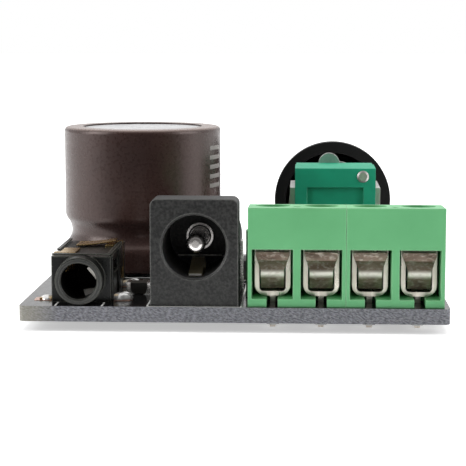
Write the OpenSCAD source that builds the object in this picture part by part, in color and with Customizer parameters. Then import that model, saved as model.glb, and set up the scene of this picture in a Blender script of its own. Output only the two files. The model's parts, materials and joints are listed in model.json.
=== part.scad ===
// Stereo audio amplifier board: audio jack, power jack and wire clamps along one edge of a circuit board,
// with a large electrolytic capacitor and a volume control with its knob behind them.
// Board frame: X runs along the connector edge, Y goes from that edge towards the knob, and Z is up from
// the top face of the board. place() moves it so that the origin is the middle of the underside.

/* [Circuit board] */
// Thickness of the board
board_t = 1.6; // [1.2:0.1:2]
// Radius of the board's corners
board_corner_r = 0.6; // [0.3:0.1:1.5]
// Board left free behind the capacitor
rear_margin = 0.75; // [0.3:0.05:3]
// How far soldered pins stand out below the board
pin_tail = 1.05; // [0.7:0.05:1.5]
// Gap between a pin's corners and its plated hole
pin_gap = 0.12; // [0.08:0.02:0.2]
// Width of solder round a plated hole
solder_land = 0.4; // [0.2:0.05:0.5]
// Height of the solder on a pin
solder_h = 0.8; // [0.4:0.05:0.9]

/* [Audio jack] */
// Board left free beside the audio jack
jack_left_gap = 3.05; // [2:0.05:5]
// Distance from the board's edge to the nose
jack_setback = 0.4; // [0:0.1:1.5]
// Width of the jack's housing
jack_w = 6.2; // [5.6:0.1:7]
// Length of the jack's housing behind the nose
jack_l = 12; // [11:0.1:14]
// Outside diameter of the round nose
jack_nose_d = 4.9; // [4.6:0.1:5.4]
// Length of the round nose
jack_nose_l = 2; // [1.5:0.1:4]
// Bore that takes the audio plug
jack_bore_d = 3.7; // [3.55:0.05:3.8]
// Wall above the bore
jack_roof = 0.45; // [0.1:0.05:0.6]
// Thickness of the jack's contact strip
jack_strip_t = 0.2; // [0.15:0.01:0.3]
// How far the soldered feet reach out from the housing
jack_foot_l = 1.5; // [0.8:0.1:2]

/* [Power jack] */
// Space between the audio jack and the power jack
dc_gap = 4.25; // [3.8:0.05:6]
// Width of the front flange
dc_w = 9; // [8.8:0.1:11]
// Height of the front flange
dc_h = 11; // [10.5:0.1:13]
// Whole length of the power jack
dc_l = 14.3; // [13.5:0.1:17]
// Length of the front flange
dc_flange_l = 3.5; // [2:0.1:5]
// Distance from the board's edge to the flange
dc_setback = 0.5; // [0:0.1:1.5]
// Height of the socket's axis above the board
dc_axis_z = 6.1; // [5.8:0.1:6.6]
// Diameter of the socket
dc_hole_d = 6.5; // [6.3:0.1:7]
// Depth of the socket
dc_hole_l = 9.1; // [8.5:0.1:10]
// Wall above the socket behind the flange
dc_roof = 0.5; // [0.4:0.05:0.9]
// Diameter of the centre pin
dc_pin_d = 2; // [1.6:0.05:2.5]
// Distance from the flange to the pin's tip
dc_pin_recess = 2; // [1:0.1:3]
// Thickness of the power jack's contact strip
dc_strip_t = 0.3; // [0.2:0.05:0.4]

/* [Wire clamps] */
// Space between the power jack and the clamp blocks
term_gap = 0.95; // [0.7:0.05:3]
// Board left free beside the clamp blocks
term_margin = 0.55; // [0.1:0.05:3]
// Distance from one wire clamp to the next
pitch = 5; // [4.9:0.02:6.5]
// Height of the clamp blocks
term_h = 10.15; // [9.5:0.05:12]
// Depth of the clamp blocks
term_l = 7.6; // [7.4:0.1:9.5]
// Distance from the board's edge to the clamp blocks
term_setback = 0.5; // [0:0.1:1.5]
// Width of a wire entry
entry_w = 4.2; // [4.05:0.05:4.3]
// Height of a wire entry's upper edge
entry_top = 5.9; // [5.6:0.05:6.5]
// Thickness of a clamp block's floor
floor_t = 0.8; // [0.6:0.05:1.1]
// Thickness of a clamp block's front wall
front_wall = 0.8; // [0.6:0.05:1]
// Outside width of a clamp cage
cage_w = 3.7; // [3.5:0.05:3.8]
// Depth of a clamp cage
cage_l = 3; // [2.7:0.05:3.3]
// Thickness of a clamp cage's walls
cage_t = 0.5; // [0.4:0.05:0.6]
// Thickness of the threaded plate at the top of a cage
nut_t = 1.1; // [0.8:0.05:1.3]
// Thickness of the wire guard's sheet
guard_t = 0.3; // [0.2:0.05:0.35]
// Width of the wire guard's upper edge
guard_top_w = 3.5; // [3:0.05:3.6]
// Width of the wire guard's foot inside the cage
guard_foot_w = 2.4; // [1.8:0.05:2.45]
// Thread diameter of a clamp screw
screw_d = 2.4; // [2:0.05:2.5]
// Diameter of a clamp screw's head
screw_head_d = 3.3; // [3:0.05:3.4]
// Height of a clamp screw's head
screw_head_h = 1.2; // [0.9:0.05:1.5]
// How far a clamp opens
clamp_travel = 1.8; // [1:0.1:2]

/* [Capacitor] */
// Diameter of the capacitor over its sleeve
cap_d = 18.5; // [16:0.5:20]
// Height of the capacitor
cap_h = 16.5; // [14:0.5:25]
// Space between the power jack and the capacitor
cap_gap = 3.95; // [3.8:0.05:6]
// Board left free beside the capacitor
cap_left_gap = 0.65; // [0.1:0.05:2]
// Gap between the board and the capacitor
cap_standoff = 0.3; // [0.1:0.05:1]
// Thickness of the capacitor's sleeve
sleeve_t = 0.15; // [0.1:0.01:0.3]
// Radius of the capacitor's top edge
cap_edge_r = 0.5; // [0.4:0.05:1]
// Depth of the pressed groove near the capacitor's foot
groove_depth = 0.75; // [0.4:0.05:1]
// Height of the groove's middle above the capacitor's foot
groove_z = 4.3; // [3.8:0.1:5.5]
// Distance between the capacitor's leads
lead_pitch = 7.5; // [5:0.5:8]
// Diameter of the capacitor's leads
lead_d = 0.8; // [0.6:0.05:1]

/* [Volume control] */
// Distance from the board's right edge to the shaft
pot_right_gap = 11.2; // [9:0.1:13]
// Width of the control's housing
pot_w = 9.5; // [9:0.1:11]
// Height of the control's housing
pot_h = 11.3; // [10:0.1:12]
// Gap between the board and the control's housing
pot_standoff = 0.6; // [0.3:0.05:1]
// Length of the switch housing at the back of the control
switch_l = 6; // [5:0.1:7]
// Length of the resistor housing
gang_l = 3.5; // [3.2:0.1:5]
// Distance from the front plate's face to the board's rear edge
pot_setback = 1.2; // [0.5:0.1:3]
// Thickness of the control's metal frame
frame_t = 0.6; // [0.4:0.05:0.8]
// Height of the shaft above the board
shaft_z = 6.3; // [5.9:0.1:6.6]
// Diameter of the threaded bushing
bush_d = 7; // [6.8:0.1:8]
// Length of the bushing in front of the plate
bush_l = 6; // [5:0.1:7]
// Diameter of the shaft
shaft_d = 6; // [5.6:0.05:6.1]
// Length of the shaft in front of the plate
shaft_l = 15; // [13:0.1:17]
// Play between the shaft and the bushing
shaft_play = 0.03; // [0.02:0.01:0.08]
// Thickness of the nut on the bushing
bush_nut_t = 2; // [1.5:0.1:2.5]
// Width across the nut's flats
bush_nut_w = 10; // [9.5:0.1:11]
// Diameter of the knob
knob_d = 15; // [13:0.1:16]
// Length of the knob
knob_l = 14; // [12:0.1:17]
// Gap between the bushing's end and the knob
knob_gap = 1.7; // [0.5:0.1:3]
// Thickness of the knob's wall
knob_wall = 1.4; // [1:0.1:2]

/* [Chips] */
// Length of the amplifier chip along the board
chip_w = 9.8; // [8:0.1:11]
// Width of the amplifier chip's body
chip_l = 4.4; // [4:0.1:5]
// Thickness of the amplifier chip
chip_h = 1.1; // [0.8:0.1:1.5]
// Distance between the chip's leads
chip_pitch = 0.8; // [0.65:0.05:0.9]
// Width of an inductor
coil_w = 4; // [3.6:0.1:4.4]
// Height of an inductor
coil_h = 2.2; // [1.8:0.1:2.8]

/* [Hidden] */
$fn = 64;
cut = 0.2;
fit_gap = 0.05;
move_gap = 0.3;

// Layout along the connector edge, from left to right
board_w = jack_left_gap + jack_w + dc_gap + dc_w + term_gap + 4 * pitch + term_margin;
left_edge = -board_w / 2;
right_edge = board_w / 2;
jack_x = left_edge + jack_left_gap + jack_w / 2;
dc_x = jack_x + jack_w / 2 + dc_gap + dc_w / 2;
term_x0 = dc_x + dc_w / 2 + term_gap;

// Layout from the connector edge to the knob
dc_end = dc_setback + dc_l;
cap_x = left_edge + cap_left_gap + cap_d / 2;
cap_y = dc_end + cap_gap + cap_d / 2;
board_d = cap_y + cap_d / 2 + rear_margin;
plate_face = board_d - pot_setback;
bush_end = plate_face + bush_l;
knob_y0 = bush_end + knob_gap;
knob_end = knob_y0 + knob_l;
pot_x = right_edge - pot_right_gap;
tail_z = -board_t - pin_tail;

// Audio jack
jack_axis_z = jack_nose_d / 2 + fit_gap;
jack_bore_r = jack_bore_d / 2;
chamber_half = jack_bore_r + 0.25;
jack_h = jack_axis_z + jack_bore_r + jack_roof;
jack_end = jack_nose_l + jack_l;
jack_rear_wall = 0.5;
jack_throat = jack_nose_l + 1;
strip_x = jack_w / 2 - jack_strip_t / 2 - fit_gap;
leaf_w = 1.1;
leg_w = 1;
bow_x = 0.36 * jack_bore_d;
sleeve_strip_x = 0.13 * jack_w;
tip_strip_x = 0.26 * jack_w;

// Contacts of the audio jack: lower edges of their leaves, and the stretch of the jack that each spans
leaf_apart = 0.35;
jack_upper_z = jack_axis_z + leaf_apart;
jack_lower_z = jack_axis_z - leaf_apart - leaf_w;
ring_y = [jack_throat + 0.3, jack_throat + 4.4];
tip_y = [jack_end - jack_rear_wall - 4.2, jack_end - jack_rear_wall - 0.2];
sleeve_y = [jack_throat + 0.3, jack_throat + 4];

// Power jack
dc_edge_r = 0.7;
dc_body_w = dc_w - 0.4;
dc_body_top = dc_axis_z + dc_hole_d / 2 + dc_roof;
dc_floor = dc_setback + dc_hole_l;
dc_pin_r = dc_pin_d / 2;
dc_spring_w = 1.4;
dc_leg_w = 1.2;
dc_spring_y = dc_floor - 1;
dc_spring_top = dc_axis_z - dc_pin_r - 1;
dc_lug_y = dc_end - 2 * dc_strip_t;
dc_side_y = dc_setback + 0.72 * dc_l;
dc_side_w = 0.22 * dc_w;
dc_lug_w = 1.1 * dc_pin_d;
dc_side_x = dc_body_w / 2 + dc_strip_t / 2;

// Wire clamps
cage_y0 = term_setback + front_wall + 2 * move_gap + 2.5 * guard_t;
cage_yc = cage_y0 + cage_l / 2;
cage_y1 = cage_y0 + cage_l;
cavity_end = cage_y1 + 0.15;
term_end = term_setback + term_l;
nut_top = entry_top - fit_gap;
nut_bottom = nut_top - nut_t;
foot_z = floor_t + cage_t + move_gap + guard_t / 2;
crest_y = term_setback + front_wall + move_gap + guard_t / 2;
crest_z = foot_z + 1.65;
flap_y = cage_y0 - move_gap - guard_t / 2;
flap_top = nut_top - 0.4;
screw_tip = foot_z + guard_t / 2 + fit_gap;
head_z = nut_top + 0.15;
well_r = screw_head_d / 2 + 0.15;
pocket_top = flap_top + clamp_travel + move_gap;
rib_h = 0.7 * term_h;
rib_out = 0.4;
rib_gap = 0.08;
rib_y0 = cavity_end + 0.55;
rib_y1 = term_end - 0.55;
top_end = cage_yc + well_r + 0.35;
top_fall = 0.25;
seam = 0.02;
term_pin = [0.6, 0.9];
slot_w = 1.15;

// Capacitor
cap_r = cap_d / 2;
cap_z0 = cap_standoff;
cap_z1 = cap_standoff + cap_h;
groove_r = 2;
shoulder_r = 1.2;
bend_sum = groove_r + shoulder_r;
groove_half = sqrt(pow(bend_sum, 2) - pow(bend_sum - groove_depth, 2));
skin_gap = 0.02;
can_r = cap_r - sleeve_t - skin_gap;
bung_r = can_r - 1.2;
bung_h = 2;

// Volume control
pot_z1 = pot_standoff + pot_h;
plate_back = plate_face - frame_t;
gang_y0 = plate_back - gang_l;
gang_waist = 0.1;
switch_y0 = gang_y0 - switch_l;
arm_h = 0.8 * pot_z1;
arm_x = pot_w / 2 + frame_t / 2;
tab_y = (switch_y0 + plate_face) / 2;
flange_t = 0.6;
washer_t = 0.5;
washer_w = 2;
washer_gap = 0.1;
shaft_r = shaft_d / 2;
bush_r = bush_d / 2;
knob_r = knob_d / 2;
boss_r = shaft_r + 1.3;
knob_bore_end = plate_face + shaft_l + move_gap;

// Amplifier chip and the parts near it
work_y0 = term_end;
work_y1 = switch_y0;
chip_x = term_x0 + 2 * pitch;
chip_y = work_y0 + 0.27 * (work_y1 - work_y0);
coil_y = work_y0 + 0.62 * (work_y1 - work_y0);
coil_x0 = dc_x + dc_w / 2 + 0.1;
coil_step = coil_w + 1.2;
lead_n = floor((chip_w - chip_pitch) / chip_pitch);
lead_w = 0.32;
lead_t = 0.15;
clip_w = 1.2;
clip_h = 0.6;
clip_t = 0.1;
clip_l = 0.8;

// Plated holes: place and half sizes of each pin
TERMINAL_PINS = [for (i = [1:4]) [pole_x(i), cage_yc, term_pin[0] / 2, term_pin[1] / 2]];
DC_PINS = [
    [dc_x, dc_lug_y, dc_leg_w / 2, dc_strip_t / 2],
    [dc_x, dc_spring_y, dc_leg_w / 2, dc_strip_t / 2],
    [dc_x + dc_side_x, dc_side_y, dc_strip_t / 2, dc_leg_w / 2]
];
CAP_PINS = [for (s = [-1, 1]) [cap_x + s * lead_pitch / 2, cap_y, lead_d / 2, 0]];
POT_ROWS = [[switch_y0 + 2.5, [-1, 1]], [gang_y0 + 0.3, [-1, 0, 1]], [plate_back - 0.7, [-1, 0, 1]]];
pot_pin = [0.8, 0.4];
pot_pin_step = 0.28 * pot_w;
POT_PINS = [
    for (row = POT_ROWS, s = row[1])
        [pot_x + s * pot_pin_step, row[0], pot_pin[0] / 2, pot_pin[1] / 2]
];
TAB_PINS = [for (s = [-1, 1]) [pot_x + s * arm_x, tab_y, frame_t / 2, 0.6]];
PINS = concat(TERMINAL_PINS, DC_PINS, CAP_PINS, POT_PINS, TAB_PINS);

// Chip parts: centre, length along X, width along Y and height
CHIP_PARTS = [
    [(jack_x + jack_w / 2 + dc_x - dc_w / 2) / 2 + 0.2, jack_nose_l + 0.52 * jack_l, 2.6, 1.6, 1.3],
    [(jack_x + jack_w / 2 + dc_x - dc_w / 2) / 2 + 0.7, jack_nose_l + 0.85 * jack_l, 2, 1.25, 0.8],
    [dc_x - 3, dc_end + 0.3 * cap_gap, 2, 1.25, 0.9],
    [dc_x, dc_end + 0.3 * cap_gap, 2, 1.25, 0.9],
    [dc_x + 3, dc_end + 0.3 * cap_gap, 2, 1.25, 0.9],
    [chip_x - chip_w / 2 - 2.6, chip_y, 2, 1.25, 0.9],
    [chip_x + chip_w / 2 + 2.6, chip_y, 2, 1.25, 0.9],
    [pot_x - 4, (coil_y + coil_w / 2 + switch_y0) / 2, 2, 1.25, 0.6],
    [pot_x, (coil_y + coil_w / 2 + switch_y0) / 2, 2, 1.25, 0.6],
    [pot_x + 4, (coil_y + coil_w / 2 + switch_y0) / 2, 2, 1.25, 0.6]
];
chip_end_l = 0.4;

// Centre of a wire clamp, counted from the left
function pole_x(i) = term_x0 + (i - 0.5) * pitch;

// Radius of the circle round a pin's section
function pin_radius(p) = norm([p[2], p[3]]);

// Points along an arc from angle a0 to a1
function arc(centre, r, a0, a1, steps = 10) =
    [for (i = [0:steps]) let (a = a0 + (a1 - a0) * i / steps) centre + r * [cos(a), sin(a)]];

// Unit vector square to the line from a to b
function side_of(a, b) = let (d = b - a) [-d[1], d[0]] / norm(d);

// Offset direction at point i of a path, lengthened at corners so that the strip keeps its thickness
function miter(path, i) =
    let (
        last = len(path) - 1,
        before = side_of(path[max(i - 1, 0)], path[max(i, 1)]),
        after = side_of(path[min(i, last - 1)], path[min(i + 1, last)])
    )
    (before + after) / (1 + before * after);

// Outline of a strip of sheet that follows a path
function ribbon(path, t) = concat(
    [for (i = [0:len(path) - 1]) path[i] + miter(path, i) * t / 2],
    [for (i = [len(path) - 1:-1:0]) path[i] - miter(path, i) * t / 2]
);

// From the board frame to the frame of the whole part
module place() {
    translate([0, -knob_end / 2, -tail_z]) children();
}

// Extrusions of a (Y, Z), an (X, Z) and an (X, Y) outline
module along_x(x0, x1) {
    translate([x0, 0, 0]) rotate([90, 0, 90]) linear_extrude(x1 - x0) children();
}

module along_y(y0, y1) {
    translate([0, y1, 0]) rotate([90, 0, 0]) linear_extrude(y1 - y0) children();
}

module along_z(z0, z1) {
    translate([0, 0, z0]) linear_extrude(z1 - z0) children();
}

// Block between two corners
module block(low, high) {
    translate(low) cube(high - low);
}

// Round bar along Y at height z
module rod_y(r, y0, y1, z) {
    translate([0, y0, z]) rotate([-90, 0, 0]) cylinder(r = r, h = y1 - y0);
}

// Body turned about the Y axis, its outline given as (radius, distance along Y)
module turned_y(y, z) {
    translate([0, y, z]) rotate([-90, 0, 0]) rotate_extrude() children();
}

// Rectangle in the middle of X whose upper corners are rounded
module arched_outline(w, h, r) {
    translate([-w / 2, 0]) square([w, h - r]);
    translate([-w / 2 + r, 0]) square([w - 2 * r, h]);
    for (s = [-1, 1]) translate([s * (w / 2 - r), h - r]) circle(r);
}

module circuit_board() {
    color([0.08, 0.08, 0.09]) difference() {
        along_z(-board_t, 0) board_outline();
        for (p = PINS) {
            translate([p[0], p[1], -board_t - cut]) cylinder(r = pin_radius(p) + pin_gap, h = board_t + 2 * cut);
        }
    }
}

module board_outline() {
    r = board_corner_r;
    translate([left_edge + r, 0]) square([board_w - 2 * r, board_d]);
    translate([left_edge, r]) square([board_w, board_d - 2 * r]);
    for (x = [left_edge + r, right_edge - r], y = [r, board_d - r]) translate([x, y]) circle(r);
}

// Ring of solder that climbs each pin below the board
module solder_joints() {
    color([0.75, 0.76, 0.78]) for (p = PINS) {
        inner = pin_radius(p) + 0.01;
        outer = inner + pin_gap + solder_land;
        translate([p[0], p[1], -board_t]) rotate_extrude() polygon([
            [inner, 0],
            [outer, 0],
            [inner + 0.55 * (outer - inner), -0.25 * solder_h],
            [inner + 0.25 * (outer - inner), -solder_h],
            [inner, -solder_h]
        ]);
    }
}

// Moulded housing with a round nose, the plug's bore, and a chamber whose windows let the contacts in
module audio_jack_housing() {
    mouth = 0.1;
    color([0.18, 0.19, 0.18]) translate([jack_x, jack_setback, 0]) difference() {
        union() {
            along_y(jack_nose_l, jack_end) translate([-jack_w / 2, 0]) square([jack_w, jack_h]);
            rod_y(jack_nose_d / 2, 0, jack_nose_l + cut, jack_axis_z);
        }
        rod_y(jack_bore_r, -cut, jack_throat + cut, jack_axis_z);
        turned_y(0, jack_axis_z) polygon([
            [0, -cut],
            [jack_bore_r + mouth + cut, -cut],
            [jack_bore_r, mouth],
            [0, mouth]
        ]);
        block(
            [-chamber_half, jack_throat, jack_axis_z - chamber_half],
            [chamber_half, jack_end - jack_rear_wall, jack_axis_z + jack_bore_r]
        );
        jack_window(1, ring_y, jack_upper_z, ring_y[0], jack_upper_z + leaf_w);
        jack_window(1, tip_y, jack_lower_z, tip_y[1] - leg_w, jack_h + cut);
        jack_window(-1, sleeve_y, jack_upper_z, sleeve_y[0], jack_h + cut);
    }
}

// Window for a contact's leaf, and the groove up the side in which its leg lies
module jack_window(side, span, z, leg_y, groove_top) {
    mirror([side < 0 ? 1 : 0, 0, 0]) {
        block([1, span[0] - 0.1, z - 0.1], [jack_w / 2 + cut, span[1] + 0.1, z + leaf_w + 0.1]);
        block([strip_x - 0.4, leg_y - 0.1, -cut], [jack_w / 2 + cut, leg_y + leg_w + 0.1, groove_top]);
    }
}

// Contact with a bowed leaf that presses on the plug, a leg and a soldered foot
module jack_contact(side, span, z, leg_y, top_x) {
    t = jack_strip_t;
    hook = leg_y < (span[0] + span[1]) / 2 ? [span[0], span[1]] : [span[1], span[0]];
    turn = sign(hook[1] - hook[0]);
    middle = (span[0] + span[1]) / 2 + turn * 0.6;
    translate([jack_x, jack_setback, 0]) mirror([side < 0 ? 1 : 0, 0, 0]) {
        along_z(z, z + leaf_w) polygon(ribbon([
            [strip_x, hook[0]],
            [strip_x, hook[0] + turn * leg_w],
            [bow_x + 0.25, middle - turn * 0.4],
            [bow_x, middle],
            [bow_x + 0.25, middle + turn * 0.4],
            [strip_x - 0.5, hook[1] - turn * 0.2]
        ], t));
        along_y(leg_y, leg_y + leg_w) polygon(ribbon([
            [strip_x, z + leaf_w],
            [strip_x, t / 2],
            [jack_w / 2 + jack_foot_l, t / 2]
        ], t));
        if (top_x > 0) {
            along_y(leg_y, leg_y + leg_w) polygon(ribbon([
                [strip_x, z + leaf_w - cut],
                [strip_x, jack_h + t / 2],
                [top_x, jack_h + t / 2]
            ], t));
            block([top_x, span[0], jack_h], [strip_x - 0.5, span[1], jack_h + t]);
        }
    }
}

module audio_jack_sleeve_contact() {
    color([0.8, 0.65, 0.35]) jack_contact(-1, sleeve_y, jack_upper_z, sleeve_y[0], sleeve_strip_x);
}

module audio_jack_ring_contact() {
    color([0.8, 0.65, 0.35]) jack_contact(1, ring_y, jack_upper_z, ring_y[0], 0);
}

module audio_jack_tip_contact() {
    color([0.8, 0.65, 0.35]) jack_contact(1, tip_y, jack_lower_z, tip_y[1] - leg_w, tip_strip_x);
}

module dc_jack_housing() {
    color([0.2, 0.2, 0.21]) translate([dc_x, 0, 0]) difference() {
        union() {
            along_y(dc_setback, dc_setback + dc_flange_l) arched_outline(dc_w, dc_h, dc_edge_r);
            along_y(dc_setback + dc_flange_l - cut, dc_end)
                arched_outline(dc_body_w, dc_body_top, dc_body_w / 2 - 0.1);
        }
        rod_y(dc_hole_d / 2, dc_setback - cut, dc_floor, dc_axis_z);
        turned_y(dc_setback, dc_axis_z) polygon([
            [0, -cut],
            [dc_hole_d / 2 + 0.2 + cut, -cut],
            [dc_hole_d / 2, 0.2],
            [0, 0.2]
        ]);
        rod_y(dc_pin_r + skin_gap, dc_floor - cut, dc_end + cut, dc_axis_z);
        block([-dc_spring_w / 2 - 0.2, dc_setback + 1.4, -cut], [dc_spring_w / 2 + 0.2, dc_floor, dc_axis_z - 1]);
        block([-1.3, dc_lug_y - dc_strip_t / 2 - skin_gap, -cut], [1.3, dc_end + cut, dc_axis_z + 1.6]);
    }
}

// Centre pin with a domed tip, a ring round its foot on the socket's floor and a riveted tail
module dc_jack_center_pin() {
    pin_l = dc_floor - dc_setback - dc_pin_recess;
    tip_r = 0.6;
    ring_gap = 0.22;
    ring_t = 0.2;
    ring_l = 0.4;
    tail_l = dc_lug_y + dc_strip_t / 2 - dc_floor;
    color([0.8, 0.78, 0.75]) translate([dc_x, 0, 0])
        turned_y(dc_setback + dc_pin_recess, dc_axis_z) {
            translate([0, tip_r]) square([dc_pin_r, pin_l - tip_r + tail_l]);
            square([dc_pin_r - tip_r, tip_r + cut]);
            intersection() {
                translate([dc_pin_r - tip_r, tip_r]) circle(tip_r);
                square([dc_pin_r, tip_r + cut]);
            }
            translate([dc_pin_r + ring_gap, pin_l - ring_l]) square([ring_t, ring_l]);
            translate([0, pin_l + tail_l]) square([dc_pin_r + 0.25, 0.25]);
        }
}

// Lug behind the housing that joins the pin to the board
module dc_jack_pin_lug() {
    color([0.8, 0.78, 0.75]) translate([dc_x, 0, 0]) difference() {
        along_y(dc_lug_y - dc_strip_t / 2, dc_lug_y + dc_strip_t / 2) {
            translate([-dc_lug_w / 2, 0.4]) square([dc_lug_w, dc_axis_z + 0.45 * dc_pin_d]);
            translate([-dc_leg_w / 2, tail_z]) square([dc_leg_w, 1 - tail_z]);
        }
        rod_y(dc_pin_r + skin_gap, dc_lug_y - 1, dc_lug_y + 1, dc_axis_z);
    }
}

// Spring that presses on the plug's barrel from below
module dc_jack_spring_contact() {
    color([0.8, 0.7, 0.45]) translate([dc_x, 0, 0]) {
        along_x(-dc_spring_w / 2, dc_spring_w / 2) polygon(ribbon([
            [dc_setback + 1.8, dc_axis_z - dc_hole_d / 2 + 0.1],
            [dc_spring_y - 1.6, dc_spring_top - 0.15],
            [dc_spring_y - 0.9, dc_spring_top - 0.15],
            [dc_spring_y, dc_spring_top - 1.2],
            [dc_spring_y, 0.4]
        ], dc_strip_t));
        along_y(dc_spring_y - dc_strip_t / 2, dc_spring_y + dc_strip_t / 2)
            translate([-dc_leg_w / 2, tail_z]) square([dc_leg_w, 0.6 - tail_z]);
    }
}

// Switched contact on the right side
module dc_jack_side_contact() {
    color([0.8, 0.78, 0.75]) translate([dc_x + dc_side_x, 0, 0])
        along_x(-dc_strip_t / 2, dc_strip_t / 2) {
            translate([dc_side_y - dc_side_w / 2, 0.3]) square([dc_side_w, 0.85 * dc_axis_z]);
            translate([dc_side_y - dc_leg_w / 2, tail_z]) square([dc_leg_w, 1 - tail_z]);
        }
}

// Moulded block for two wire clamps, with a dovetail rib on its left and the matching groove on its right
module terminal_block(first) {
    x0 = term_x0 + (first - 1) * pitch;
    x1 = x0 + 2 * pitch;
    color([0.42, 0.7, 0.49]) difference() {
        union() {
            along_x(x0 + seam / 2, x1 - seam / 2) polygon([
                [term_setback, 0],
                [term_end, 0],
                [term_end, rib_h],
                [top_end, term_h - top_fall],
                [term_setback, term_h]
            ]);
            dovetail(x0 + seam / 2, 0, 0, rib_h);
        }
        dovetail(x1 - seam / 2, rib_gap, -cut, rib_h + cut);
        for (i = [first, first + 1]) translate([pole_x(i), 0, 0]) clamp_space();
        translate([x1 - pitch, term_setback + 2, term_h - 1]) cylinder(d = 0.9, h = 1 + cut);
    }
}

// Dovetail that stands out to the left of x, with its play
module dovetail(x, play, z0, z1) {
    along_z(z0, z1) polygon([
        [x + cut, rib_y0 + 0.25 - play],
        [x, rib_y0 + 0.25 - play],
        [x - rib_out - play, rib_y0 - play],
        [x - rib_out - play, rib_y1 + play],
        [x, rib_y1 - 0.25 + play],
        [x + cut, rib_y1 - 0.25 + play]
    ]);
}

// Everything cut out of a block for one clamp: wire entry, guard pocket, screw well and pin slot
module clamp_space() {
    block([-entry_w / 2, term_setback - cut, floor_t], [entry_w / 2, cavity_end, entry_top]);
    block([-entry_w / 2, term_setback + front_wall, floor_t], [entry_w / 2, cage_y0 - fit_gap, pocket_top]);
    block([-slot_w / 2, term_setback - cut, -cut], [slot_w / 2, cage_yc + 0.7, floor_t + cut]);
    translate([0, cage_yc, entry_top - cut]) cylinder(r = well_r, h = term_h - entry_top + 2 * cut);
}

module terminal_block_left() {
    terminal_block(1);
}

module terminal_block_right() {
    terminal_block(3);
}

// Outline of a cage, rounded at its lower corners
module cage_outline(w, z0, z1, r) {
    translate([-w / 2, z0 + r]) square([w, z1 - z0 - r]);
    translate([-w / 2 + r, z0]) square([w - 2 * r, z1 - z0]);
    for (s = [-1, 1]) translate([s * (w / 2 - r), z0 + r]) circle(r);
}

// Bent cage with a threaded plate at its top and a solder pin below
module terminal_cage(i) {
    corner = 1.2;
    inner_corner = 0.4;
    color([0.78, 0.74, 0.68]) translate([pole_x(i), 0, 0]) difference() {
        union() {
            along_y(cage_y0, cage_y1) cage_outline(cage_w, floor_t, nut_top, corner);
            block(
                [-term_pin[0] / 2, cage_yc - term_pin[1] / 2, tail_z],
                [term_pin[0] / 2, cage_yc + term_pin[1] / 2, floor_t + cage_t / 2]
            );
        }
        along_y(cage_y0 - cut, cage_y1 + cut)
            cage_outline(cage_w - 2 * cage_t, floor_t + cage_t, nut_bottom, inner_corner);
        translate([0, cage_yc, nut_bottom - cut]) cylinder(r = screw_d / 2 + fit_gap, h = nut_t + 2 * cut);
    }
}

// Bent leaf between the wire and the screw: foot in the cage, crest in the entry and flap above it
module wire_guard(i) {
    crest_r = 0.35;
    path = concat(
        [[cage_y1 - 0.3, foot_z], [cage_y0 + 0.2, foot_z]],
        arc([crest_y + crest_r, crest_z], crest_r, 212, 160),
        [[flap_y, crest_z + 0.55 * (flap_top - crest_z)], [flap_y, flap_top]]
    );
    flare = [crest_z + 0.2, flap_top - 0.35];
    color([0.5, 0.47, 0.43]) translate([pole_x(i), 0, 0]) intersection() {
        along_x(-guard_top_w / 2, guard_top_w / 2) polygon(ribbon(path, guard_t));
        along_y(term_setback, cage_y1) polygon([
            [-guard_foot_w / 2, 0],
            [guard_foot_w / 2, 0],
            [guard_foot_w / 2, flare[0]],
            [guard_top_w / 2, flare[1]],
            [guard_top_w / 2, term_h],
            [-guard_top_w / 2, term_h],
            [-guard_top_w / 2, flare[1]],
            [-guard_foot_w / 2, flare[0]]
        ]);
    }
}

// Slotted screw that presses the guard down
module clamp_screw(i) {
    slot_depth = 0.5 * screw_head_h;
    slot_t = 0.5;
    color([0.72, 0.72, 0.74]) translate([pole_x(i), cage_yc, 0]) difference() {
        rotate_extrude() polygon([
            [0, screw_tip],
            [screw_d / 2 - 0.3, screw_tip],
            [screw_d / 2, screw_tip + 0.3],
            [screw_d / 2, head_z],
            [screw_head_d / 2, head_z],
            [screw_head_d / 2, head_z + screw_head_h - 0.2],
            [screw_head_d / 2 - 0.2, head_z + screw_head_h],
            [0, head_z + screw_head_h]
        ]);
        block(
            [-screw_head_d, -slot_t / 2, head_z + screw_head_h - slot_depth],
            [screw_head_d, slot_t / 2, head_z + screw_head_h + cut]
        );
    }
}

// Half section of the capacitor at a depth below its outer skin
module cap_section(depth) {
    r = cap_r - depth;
    edge = cap_edge_r;
    difference() {
        union() {
            translate([0, cap_z0 + depth + edge]) square([r, cap_h - 2 * depth - 2 * edge]);
            translate([0, cap_z0 + depth]) square([r - edge, cap_h - 2 * depth]);
            for (z = [cap_z0 + depth + edge, cap_z1 - depth - edge]) translate([r - edge, z]) circle(edge);
        }
        translate([cap_r, cap_z0 + groove_z]) groove_outline(depth);
    }
}

// Groove and its rounded shoulders, from the middle of the groove at the outer skin
module groove_outline(depth) {
    meet_x = (shoulder_r - depth) / bend_sum * (bend_sum - groove_depth) - shoulder_r;
    difference() {
        translate([meet_x, -groove_half]) square([cap_r, 2 * groove_half]);
        for (s = [-1, 1]) translate([-shoulder_r, s * groove_half]) circle(shoulder_r - depth);
    }
    translate([groove_r - groove_depth, 0]) circle(groove_r + depth);
}

// Aluminium can with a recess for the bung below and a scored vent on top
module capacitor_can() {
    top = cap_z1 - sleeve_t - skin_gap;
    vent_l = 0.62 * cap_d;
    vent_w = 0.35;
    color([0.78, 0.78, 0.8]) translate([cap_x, cap_y, 0]) difference() {
        rotate_extrude() difference() {
            cap_section(sleeve_t + skin_gap);
            square([bung_r + skin_gap, cap_z0 + bung_h]);
        }
        for (a = [0, 90]) rotate([0, 0, a + 45]) {
            block([-vent_l / 2, -vent_w / 2, top - 0.12], [vent_l / 2, vent_w / 2, top + cut]);
        }
    }
}

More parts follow.
